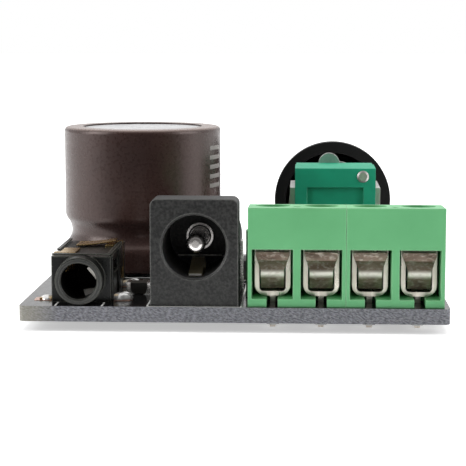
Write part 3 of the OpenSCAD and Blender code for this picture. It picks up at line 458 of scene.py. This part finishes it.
def make_metals():
    """Solder, contacts, screws and sheet; colours are linear, and streaks give the stretch of their grain."""
    upright = (400.0, 400.0, 3000.0)
    across = (3000.0, 400.0, 400.0)
    drawn = (2400.0, 300.0, 300.0)
    return [
        metal("solder", base=(0.94, 0.94, 0.92), dark=(0.68, 0.68, 0.67),
              rough=0.2, streaks=upright, depth=0.03, shine=0.6),
        metal("contact_brass", base=(0.7, 0.5, 0.22), dark=(0.38, 0.24, 0.09), rough=0.26, streaks=across),
        metal("spring_metal", base=(0.94, 0.92, 0.86), dark=(0.7, 0.67, 0.6),
              rough=0.3, streaks=across, shine=0.15),
        metal("spring_brass", base=(0.4, 0.35, 0.22), dark=(0.24, 0.2, 0.11),
              rough=0.34, streaks=across, shine=0.4),
        metal("tinned_metal", base=(0.97, 0.94, 0.92), dark=(0.7, 0.65, 0.62),
              rough=0.24, streaks=upright, tarnish=0.3),
        metal("cage_metal", base=(0.96, 0.9, 0.81), dark=(0.62, 0.54, 0.46),
              rough=0.3, streaks=across, shine=0.8),
        metal("screw_metal", base=(0.62, 0.62, 0.63), dark=(0.38, 0.38, 0.38), rough=0.3, streaks=upright),
        metal("can_metal", base=(0.78, 0.78, 0.79), dark=(0.6, 0.6, 0.61), rough=0.35, streaks=drawn),
        metal("frame_steel", base=(0.68, 0.64, 0.63), dark=(0.48, 0.44, 0.43),
              rough=0.36, streaks=across, shine=0.85),
        metal("bare_copper", base=(0.72, 0.44, 0.34), dark=(0.45, 0.24, 0.17), rough=0.26, streaks=upright),
    ]


def make_materials():
    """One material for each slot of the record, and those of the added details, by name."""
    made = [board_laminate(), guard_metal(), sleeve_plastic()] + make_plastics() + make_metals()
    return {material.name.removeprefix(FINISH_PREFIX): material for material in made}


OWN_FINISH = {"dc_jack_spring_contact": "spring_brass"}


def dress_nodes():
    """Gives each CAD node the material of its slot, or the one that it has to itself."""
    for subpart in frame["record"]["subparts"]:
        slots = nodes[subpart["node"]].data.materials
        slots.clear()
        slots.append(materials[OWN_FINISH.get(subpart["node"], subpart["material_slot"])])


# Building blocks of the added pieces, in board millimetres

def span(node):
    """Lowest and highest corner of a CAD node, in the millimetres that at() takes."""
    origin = at(0, 0, 0)
    return [(corner - origin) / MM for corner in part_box(node)]


def middle_of(node):
    low, high = span(node)
    return (low + high) / 2


def radius_of(node):
    """Half of a node's width along the connector edge."""
    low, high = span(node)
    return (high.x - low.x) / 2


def islands(node):
    """Lowest and highest corner of each separate solid of a CAD node, in the same millimetres."""
    mesh = nodes[node].data
    origin = at(0, 0, 0)
    spots = [tuple(round(v / MM, 3) for v in vertex.co - origin) for vertex in mesh.vertices]
    leader = {spot: spot for spot in spots}

    def head(spot):
        while leader[spot] != spot:
            spot = leader[spot]
        return spot

    for edge in mesh.edges:
        first, second = (head(spots[i]) for i in edge.vertices)
        leader[first] = second
    groups = {}
    for spot in leader:
        groups.setdefault(head(spot), []).append(spot)
    boxes = [(Vector(map(min, zip(*group))), Vector(map(max, zip(*group)))) for group in groups.values()]
    return sorted(boxes, key=lambda box: tuple(box[0]))


class Sketch:
    """One mesh made of closed skins, each given as rings of points in board millimetres."""

    def __init__(self, name):
        self.name = name
        self.shape = bmesh.new()

    def skin(self, rings, wrap=False):
        """Closed skin over rings of equally many points; wrap joins the last ring to the first."""
        loops = [[self.shape.verts.new(at(*point)) for point in ring] for ring in rings]
        count = len(loops[0])
        for first, second in zip(loops, loops[1:] + loops[:1] if wrap else loops[1:]):
            for i in range(count):
                j = (i + 1) % count
                self.shape.faces.new((first[i], first[j], second[j], second[i]))
        if not wrap:
            self.shape.faces.new(loops[0][::-1])
            self.shape.faces.new(loops[-1])

    def line(self, points, width, z0, z1):
        """Flat line along (x, y) points between two heights, with mitred corners."""
        mitre_limit = 0.5
        path = [Vector(point) for point in points]
        rings = []
        for i, point in enumerate(path):
            before = (point - path[i - 1]).normalized() if i else (path[1] - point).normalized()
            after = (path[i + 1] - point).normalized() if i + 1 < len(path) else before
            along = (before + after).normalized()
            side = Vector((-along.y, along.x)) * width / 2 / max(along.dot(before), mitre_limit)
            left, right = point + side, point - side
            rings.append([(*left, z0), (*right, z0), (*right, z1), (*left, z1)])
        self.skin(rings)

    def frame(self, low, high, margin, width, z0, z1):
        """Printed outline round a part's footprint."""
        x0, y0, x1, y1 = low.x - margin, low.y - margin, high.x + margin, high.y + margin
        corners = [(x0, y0), (x1, y0), (x1, y1), (x0, y1)]
        for start, end in zip(corners, corners[1:] + corners[:1]):
            self.line([start, end], width, z0, z1)

    def ring(self, centre, inner, outer, start, end, steps=72, upright=False):
        """Flat ring between two heights, or upright, round an axis along Y, between two depths."""
        rings = []
        for i in range(steps):
            a = math.tau * i / steps
            x, y = math.cos(a), math.sin(a)
            section = [(inner, start), (outer, start), (outer, end), (inner, end)]
            if upright:
                rings.append([(centre[0] + r * x, depth, centre[2] + r * y) for r, depth in section])
            else:
                rings.append([(centre[0] + r * x, centre[1] + r * y, height) for r, height in section])
        self.skin(rings, wrap=True)

    def pad(self, centre, size, z0, z1):
        """Flat pad with cut corners."""
        corner_share = 0.25
        w, d = size[0] / 2, size[1] / 2
        bevel = corner_share * min(w, d)
        corners = [(w, bevel - d), (w, d - bevel), (w - bevel, d), (bevel - w, d)]
        corners += [(-x, -y) for x, y in corners]
        self.skin([[(centre[0] + x, centre[1] + y, z) for x, y in corners] for z in (z0, z1)])

    def blob(self, centre, size, height, phase, steps=28, levels=9):
        """Frozen drop of solder, highest in the middle and uneven round its edge."""
        slope = 1.6
        lobes, lobe_h, ripples, ripple_h = 3, 0.12, 5, 0.06
        rings = []
        for level in range(levels):
            t = level / levels
            reach = 1 - t ** slope
            ring = []
            for i in range(steps):
                a = math.tau * i / steps
                uneven = 1 + lobe_h * math.sin(lobes * a + phase)
                uneven += ripple_h * math.sin(ripples * a - 2 * phase)
                x = centre[0] + size[0] / 2 * reach * uneven * math.cos(a)
                y = centre[1] + size[1] / 2 * reach * uneven * math.sin(a)
                ring.append((x, y, height * math.sin(t * math.pi / 2)))
            rings.append(ring)
        self.skin(rings)

    def fillet(self, edge, away, width, reach, height, steps=4):
        """Hollow slope of solder from an end's foot outwards; away is the direction along X or Y."""
        across = Vector((-away[1], away[0])) * width / 2
        profile = [(0.0, 0.0), (reach, 0.0)]
        for i in range(1, steps + 1):
            a = i / steps * math.pi / 2
            profile.append((reach * (1 - math.sin(a)), height * (1 - math.cos(a))))
        rings = []
        for side in (-1, 1):
            foot = Vector(edge) + side * across
            rings.append([(foot.x + away[0] * r, foot.y + away[1] * r, z) for r, z in profile])
        self.skin(rings)

    def place(self, finish, slot, body="board", smooth=False):
        """Makes the object with its material, and lets it ride on a body; slot is not used."""
        bmesh.ops.recalc_face_normals(self.shape, faces=self.shape.faces)
        mesh = bpy.data.meshes.new(self.name)
        self.shape.to_mesh(mesh)
        self.shape.free()
        mesh.materials.append(materials[finish])
        if smooth:
            mesh.shade_smooth()
        piece = bpy.data.objects.new(self.name, mesh)
        scene.collection.objects.link(piece)
        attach(piece, body)
        return piece


# Printed, soldered and other small details, with the heights between which ink and copper lie on the board

INK = (0.0, 0.02)
INK_WIDTH = 0.18
COPPER_T = 0.035
COPPER = (0.0, COPPER_T)


def print_outlines():
    """White outlines round the parts, and the guide lines of the audio jack's nose at the board's edge."""
    margin, can_gap = 0.3, 0.2
    guide_off, guide_start, guide_end = 2.4, 0.15, 2.3
    ink = Sketch("silkscreen")
    boxes = [span(node) for node in ("dc_jack_housing", "amplifier_chip", "pot_switch_housing")]
    for low, high in boxes + islands("filter_inductors"):
        ink.frame(low, high, margin, INK_WIDTH, *INK)
    inner = radius_of("capacitor_sleeve") + can_gap
    ink.ring(middle_of("capacitor_sleeve"), inner, inner + INK_WIDTH, *INK)
    nose_x = middle_of("audio_jack_housing").x
    for x in (nose_x - guide_off, nose_x + guide_off):
        ink.line([(x, guide_start), (x, guide_end)], INK_WIDTH, *INK)
    ink.place("white_ink", "board_laminate")


def solder_ends(pads, solder, box, pad_extra, reach, height):
    """Pad under a block, and a slope of solder up each of its two ends along X."""
    low, high = box
    y = (low.y + high.y) / 2
    depth = high.y - low.y
    pads.pad(((low.x + high.x) / 2, y), (high.x - low.x + pad_extra[0], depth + pad_extra[1]), *COPPER)
    for side, edge in ((-1, low.x), (1, high.x)):
        solder.fillet((edge, y), (side, 0), depth, reach, height)


def solder_surface_parts():
    """Pads under the surface parts, and the solder that climbs their ends."""
    climb = 0.7
    toe_in, lead_pad_extra, lead_pad_l = 0.2, 0.14, 1.1
    pads = Sketch("surface_pads")
    solder = Sketch("surface_solder")
    for box in islands("chip_part_ends"):
        solder_ends(pads, solder, box, pad_extra=(0.9, 0.3), reach=0.4, height=climb * (box[1].z - box[0].z))
    for box in islands("inductor_clips"):
        solder_ends(pads, solder, box, pad_extra=(0.6, 0.4), reach=0.25, height=0.3)
    chip_y = middle_of("amplifier_chip").y
    for low, high in islands("amplifier_chip_leads"):
        middle = (low + high) / 2
        outwards = 1 if middle.y > chip_y else -1
        toe = high.y if outwards > 0 else low.y
        width = high.x - low.x
        pads.pad((middle.x, toe - outwards * toe_in), (width + lead_pad_extra, lead_pad_l), *COPPER)
        solder.fillet((middle.x, toe), (0, outwards), width, reach=0.25, height=0.13)
    pads.place("solder", "solder")
    solder.place("solder", "solder")


def solder_jack_feet():
    """Drops of solder over the three soldered feet of the audio jack, two on each right one."""
    foot_half, leg_half = 0.75, 0.5
    pad_size = (2.6, 2.0)
    second_right, second_back = 0.4, 0.9
    turn, second_turn = 1.7, 2.3
    solder = Sketch("jack_solder")
    copper = Sketch("jack_pads")
    housing_left = span("audio_jack_housing")[0].x
    for count, contact in enumerate(("sleeve", "ring", "tip")):
        low, high = span(f"audio_jack_{contact}_contact")
        y = high.y - leg_half if contact == "tip" else low.y + leg_half
        if low.x < housing_left:
            x = low.x + foot_half
            solder.blob((x, y), size=(1.5, 1.5), height=0.45, phase=turn * count)
        else:
            x = high.x - foot_half
            solder.blob((x, y), size=(2.3, 1.8), height=0.75, phase=turn * count)
            second = (x + second_right, y + second_back)
            solder.blob(second, size=(1.5, 0.9), height=0.7, phase=second_turn * count)
        copper.pad((x, y), pad_size, *COPPER)
    copper.place("bare_copper", "contact_brass")
    solder.place("solder", "solder", smooth=True)


def rib_jack():
    """Ribs on the audio jack's right side, and ridges round its top."""
    low, high = span("audio_jack_housing")
    proud, width, ridge_h, sunk, short = 0.2, 0.4, 0.12, 0.02, 0.1
    ribs_from_front = (2.5, 7.8, 8.7)
    ridge_in, left_gap = 2.2, 3.4
    front, back = low.y + ridge_in, high.y - ridge_in
    left_start = front + left_gap
    ribs = Sketch("jack_ribs")
    for from_front in ribs_from_front:
        ribs.pad((high.x, low.y + from_front), (2 * proud, width), low.z + short, high.z - short)
    top = (high.z - sunk, high.z + ridge_h)
    ribs.pad(((low.x + high.x) / 2, front), (high.x - low.x - short, width), *top)
    ribs.pad((high.x - width / 2, (front + back) / 2), (width, back - front), *top)
    ribs.pad((low.x + width / 2, (left_start + high.y) / 2), (width, high.y - left_start), *top)
    ribs.place("jack_plastic", "jack_plastic")


def lay_jack_leaf():
    """Spring leaf on the audio jack's top, which narrows and rises towards the right."""
    low, high = span("audio_jack_housing")
    steps, leaf_t, rise = 12, 0.12, 0.4
    left_in, right_in, back_in = 1.6, 0.5, 2.3
    depth, narrowing = 3.0, 1.0
    left, right, back = low.x + left_in, high.x - right_in, high.y - back_in
    rings = []
    for i in range(steps + 1):
        t = i / steps
        x = left + t * (right - left)
        front = back - depth + narrowing * t
        z = high.z + rise * t * t
        rings.append([(x, front, z), (x, back, z), (x, back, z + leaf_t), (x, front, z + leaf_t)])
    leaf = Sketch("jack_spring_leaf")
    leaf.skin(rings)
    leaf.place("contact_brass", "contact_brass")


def bow_leaf(sketch, axis, chord, outwards, start, length):
    """Leaf that bows out of a bore's wall towards its axis; chord gives its edges, seen along the bore."""
    steps, leaf_t, sunk = 14, 0.1, 0.75
    rings = []
    for i in range(steps + 1):
        t = i / steps
        inner = sunk * (1 - math.sin(math.pi * t))
        ring = []
        for (x, z), out in zip(chord + chord[::-1], (inner, inner, inner + leaf_t, inner + leaf_t)):
            spot = Vector((x, z)) + out * Vector(outwards)
            ring.append((axis.x + spot.x, start + length * t, axis.z + spot.y))
        rings.append(ring)
    sketch.skin(rings)


def line_jack_bore():
    """Spring leaves inside the audio jack's bore, and the raised lip of its nose."""
    low, high = span("audio_jack_housing")
    nose_r, lip_inner_r, lip_edge, lip_proud, lip_sunk = 2.45, 1.97, 0.1, 0.04, 0.02
    axis = Vector(((low.x + high.x) / 2, 0, low.z + nose_r))
    upper, upper_out = [(0.62, 1.13), (1.62, -0.06)], (0.77, 0.64)
    lower, lower_out = [(0.1, -1.2), (1.4, -1.05)], (0.45, -0.89)
    upper_in, lower_in = 0.9, 2.05
    leaves = Sketch("jack_bore_leaves")
    bow_leaf(leaves, axis, upper, upper_out, start=low.y + upper_in, length=1.9)
    bow_leaf(leaves, axis, lower, lower_out, start=low.y + lower_in, length=1.5)
    leaves.place("spring_metal", "contact_brass")
    lip = Sketch("jack_nose_lip")
    lip.ring(axis, lip_inner_r, nose_r - lip_edge, low.y - lip_proud, low.y + lip_sunk, upright=True)
    lip.place("nose_plastic", "jack_plastic")


def edge_power_bore():
    """Seam on the rear wall of the power jack's hole, its spring's front edge, and collars round the pin."""
    hole_depth = 9.1
    edge_t, seam_drop, seam_half = 0.13, 2.05, 2.4
    lip_in, lip_top, lip_bottom = 0.05, 3.0, 3.2
    collar_radii = ((1.2, 1.46), (1.0, 1.07))
    collar_front, collar_back = 0.44, 0.38
    axis = middle_of("dc_jack_center_pin")
    wall_y = span("dc_jack_housing")[0].y + hole_depth
    seam_y, seam_z = wall_y - edge_t / 2, axis.z - seam_drop
    edges = Sketch("power_jack_edges")
    seam = [(axis.x - seam_half, seam_y), (axis.x + seam_half, seam_y)]
    edges.line(seam, edge_t, seam_z - edge_t, seam_z)
    low, high = span("dc_jack_spring_contact")
    lip = [(low.x + lip_in, low.y), (high.x - lip_in, low.y)]
    edges.line(lip, edge_t, axis.z - lip_bottom, axis.z - lip_top)
    edges.place("spring_metal", "tinned_metal")
    collars = Sketch("power_jack_collars")
    for inner, outer in collar_radii:
        collars.ring(axis, inner, outer, wall_y - collar_front, wall_y - collar_back, upright=True)
    collars.place("tinned_metal", "tinned_metal")


def under_board():
    """Heights between which copper lies under the board."""
    bottom = span("circuit_board")[0].z
    return bottom - COPPER_T, bottom


def run_tracks():
    """Copper tracks under the mask: short ones behind the inductors, and wide ones under the board."""
    coil_start, coil_end, coil_width = 0.1, 2.6, 0.9
    clamp_aside, clamp_width, clamp_depths = 3.0, 1.6, (4.2, 9.0, 12.0, 22.0)
    lead_width, lead_depths = 2.2, (20.0, 15.0, 10.0)
    lead_shift, lead_share = -4.0, 0.2
    under = under_board()
    tracks = Sketch("tracks")
    for low, high in islands("filter_inductors"):
        x = (low.x + high.x) / 2
        tracks.line([(x, high.y + coil_start), (x, high.y + coil_end)], coil_width, *COPPER)
    for low, high in islands("terminal_cage_1") + islands("terminal_cage_3"):
        x = (low.x + high.x) / 2
        end_x = x - clamp_aside
        tracks.line(zip((x, x, end_x, end_x), clamp_depths), clamp_width, *under)
    for low, high in islands("capacitor_leads"):
        x, y = (low.x + high.x) / 2, (low.y + high.y) / 2
        end_x = lead_shift + lead_share * x
        tracks.line(zip((x, x, end_x, end_x), (y, *lead_depths)), lead_width, *under)
    tracks.place("board_laminate", "board_laminate")


def drill_vias():
    """Three rows of vias; the middle row shows under the board only."""
    hole_r, via_r, sides = 0.16, 0.34, 20
    rows, columns, middle_row = 3, 5, 1
    across, apart, start_x = 1.7, 0.9, 1.5
    under = under_board()
    vias = Sketch("vias")
    first_x = span("amplifier_chip")[0].x + start_x
    first_y = islands("filter_inductors")[0][1].y + apart
    for row in range(rows):
        for column in range(columns):
            centre = (first_x + across * column, first_y + apart * row)
            if row != middle_row:
                vias.ring(centre, hole_r, via_r, *COPPER, steps=sides)
            vias.ring(centre, hole_r, via_r, *under, steps=sides)
    vias.place("solder", "solder")


def mark_capacitor():
    """Column of pale dashes that marks the capacitor's negative side."""
    ink_t, dash_h, dash_apart, first_down = 0.02, 0.5, 1.1, 2.6
    first, last = math.radians(63), math.radians(82)
    steps, dashes = 8, 5
    marks = Sketch("capacitor_marks")
    centre = middle_of("capacitor_sleeve")
    inner = radius_of("capacitor_sleeve")
    outer = inner + ink_t
    top = span("capacitor_sleeve")[1].z - first_down
    for dash in range(dashes):
        z0 = top - dash_apart * dash
        z1 = z0 + dash_h
        section = [(inner, z0), (outer, z0), (outer, z1), (inner, z1)]
        rings = []
        for i in range(steps + 1):
            a = first + (last - first) * i / steps
            rings.append([(centre.x + r * math.sin(a), centre.y - r * math.cos(a), z) for r, z in section])
        marks.skin(rings)
    marks.place("grey_ink", "sleeve_plastic")


def thread_bushing():
    """The control's bushing with its real thread, in place of the plain one."""
    flange_out, shaft_gap = 1.0, 0.03
    plate_t, flange_t = 0.6, 0.6
    pitch, depth, flank = 0.75, 0.35, 2.4
    turn_steps, round_steps = 10, 72
    thread_gap, plain_l, chamfer_l, chamfer = 0.02, 0.3, 0.25, 0.1
    low, high = span("pot_bushing")
    axis = (low + high) / 2
    flange_r = radius_of("pot_bushing")
    body_r = flange_r - flange_out
    root_r = body_r - depth
    bore_r = radius_of("pot_shaft") + shaft_gap
    flange_y = low.y + plate_t
    start = flange_y + flange_t
    count = int((high.y - start - plain_l) / pitch * turn_steps)

    def around(y, radius_at):
        ring = []
        for i in range(round_steps):
            a = math.tau * i / round_steps
            r = radius_at(a)
            ring.append((axis.x + r * math.cos(a), y, axis.z + r * math.sin(a)))
        return ring

    def plain(rows):
        return [around(y, lambda a, r=r: r) for y, r in rows]

    def ridge(y, a):
        turn = ((y - start) / pitch - a / math.tau) % 1.0
        return body_r - depth * min(1.0, flank * abs(turn - 0.5))

    thread = [start + thread_gap + i * pitch / turn_steps for i in range(count)]
    rings = plain([(low.y, body_r), (flange_y, body_r)])
    rings += plain([(flange_y, flange_r), (start, flange_r), (start, root_r)])
    rings += [around(y, lambda a, y=y: ridge(y, a)) for y in thread]
    rings += plain([(high.y - chamfer_l, root_r), (high.y, root_r - chamfer)])
    rings += plain([(high.y, bore_r), (low.y, bore_r)])
    bushing = Sketch("threaded_bushing")
    bushing.skin(rings, wrap=True)
    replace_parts(bushing.place("frame_steel", "frame_steel"), "pot_bushing")


def inlay_pointer():
    """White line set in the groove of the knob's face."""
    half, round_steps = 0.34, 6
    inner_end, outer_end = 1.95, 5.0
    groove_depth, below_face = 0.4, 0.06
    axis = middle_of("volume_knob")
    face_y = span("volume_knob")[1].y
    outline = []
    for middle, first in ((axis.z + outer_end, 0.0), (axis.z + inner_end, math.pi)):
        for i in range(round_steps + 1):
            a = first + math.pi * i / round_steps
            outline.append((axis.x + half * math.cos(a), middle + half * math.sin(a)))
    pointer = Sketch("knob_pointer")
    pointer.skin([[(x, y, z) for x, z in outline] for y in (face_y - groove_depth, face_y - below_face)])
    pointer.place("white_ink", "knob_plastic", body="knob")


make_camera()
make_world()
make_lights()
make_floor()
materials = make_materials()
dress_nodes()
print_outlines()
solder_surface_parts()
solder_jack_feet()
rib_jack()
lay_jack_leaf()
line_jack_bore()
edge_power_bore()
run_tracks()
drill_vias()
mark_capacitor()
thread_bushing()
inlay_pointer()
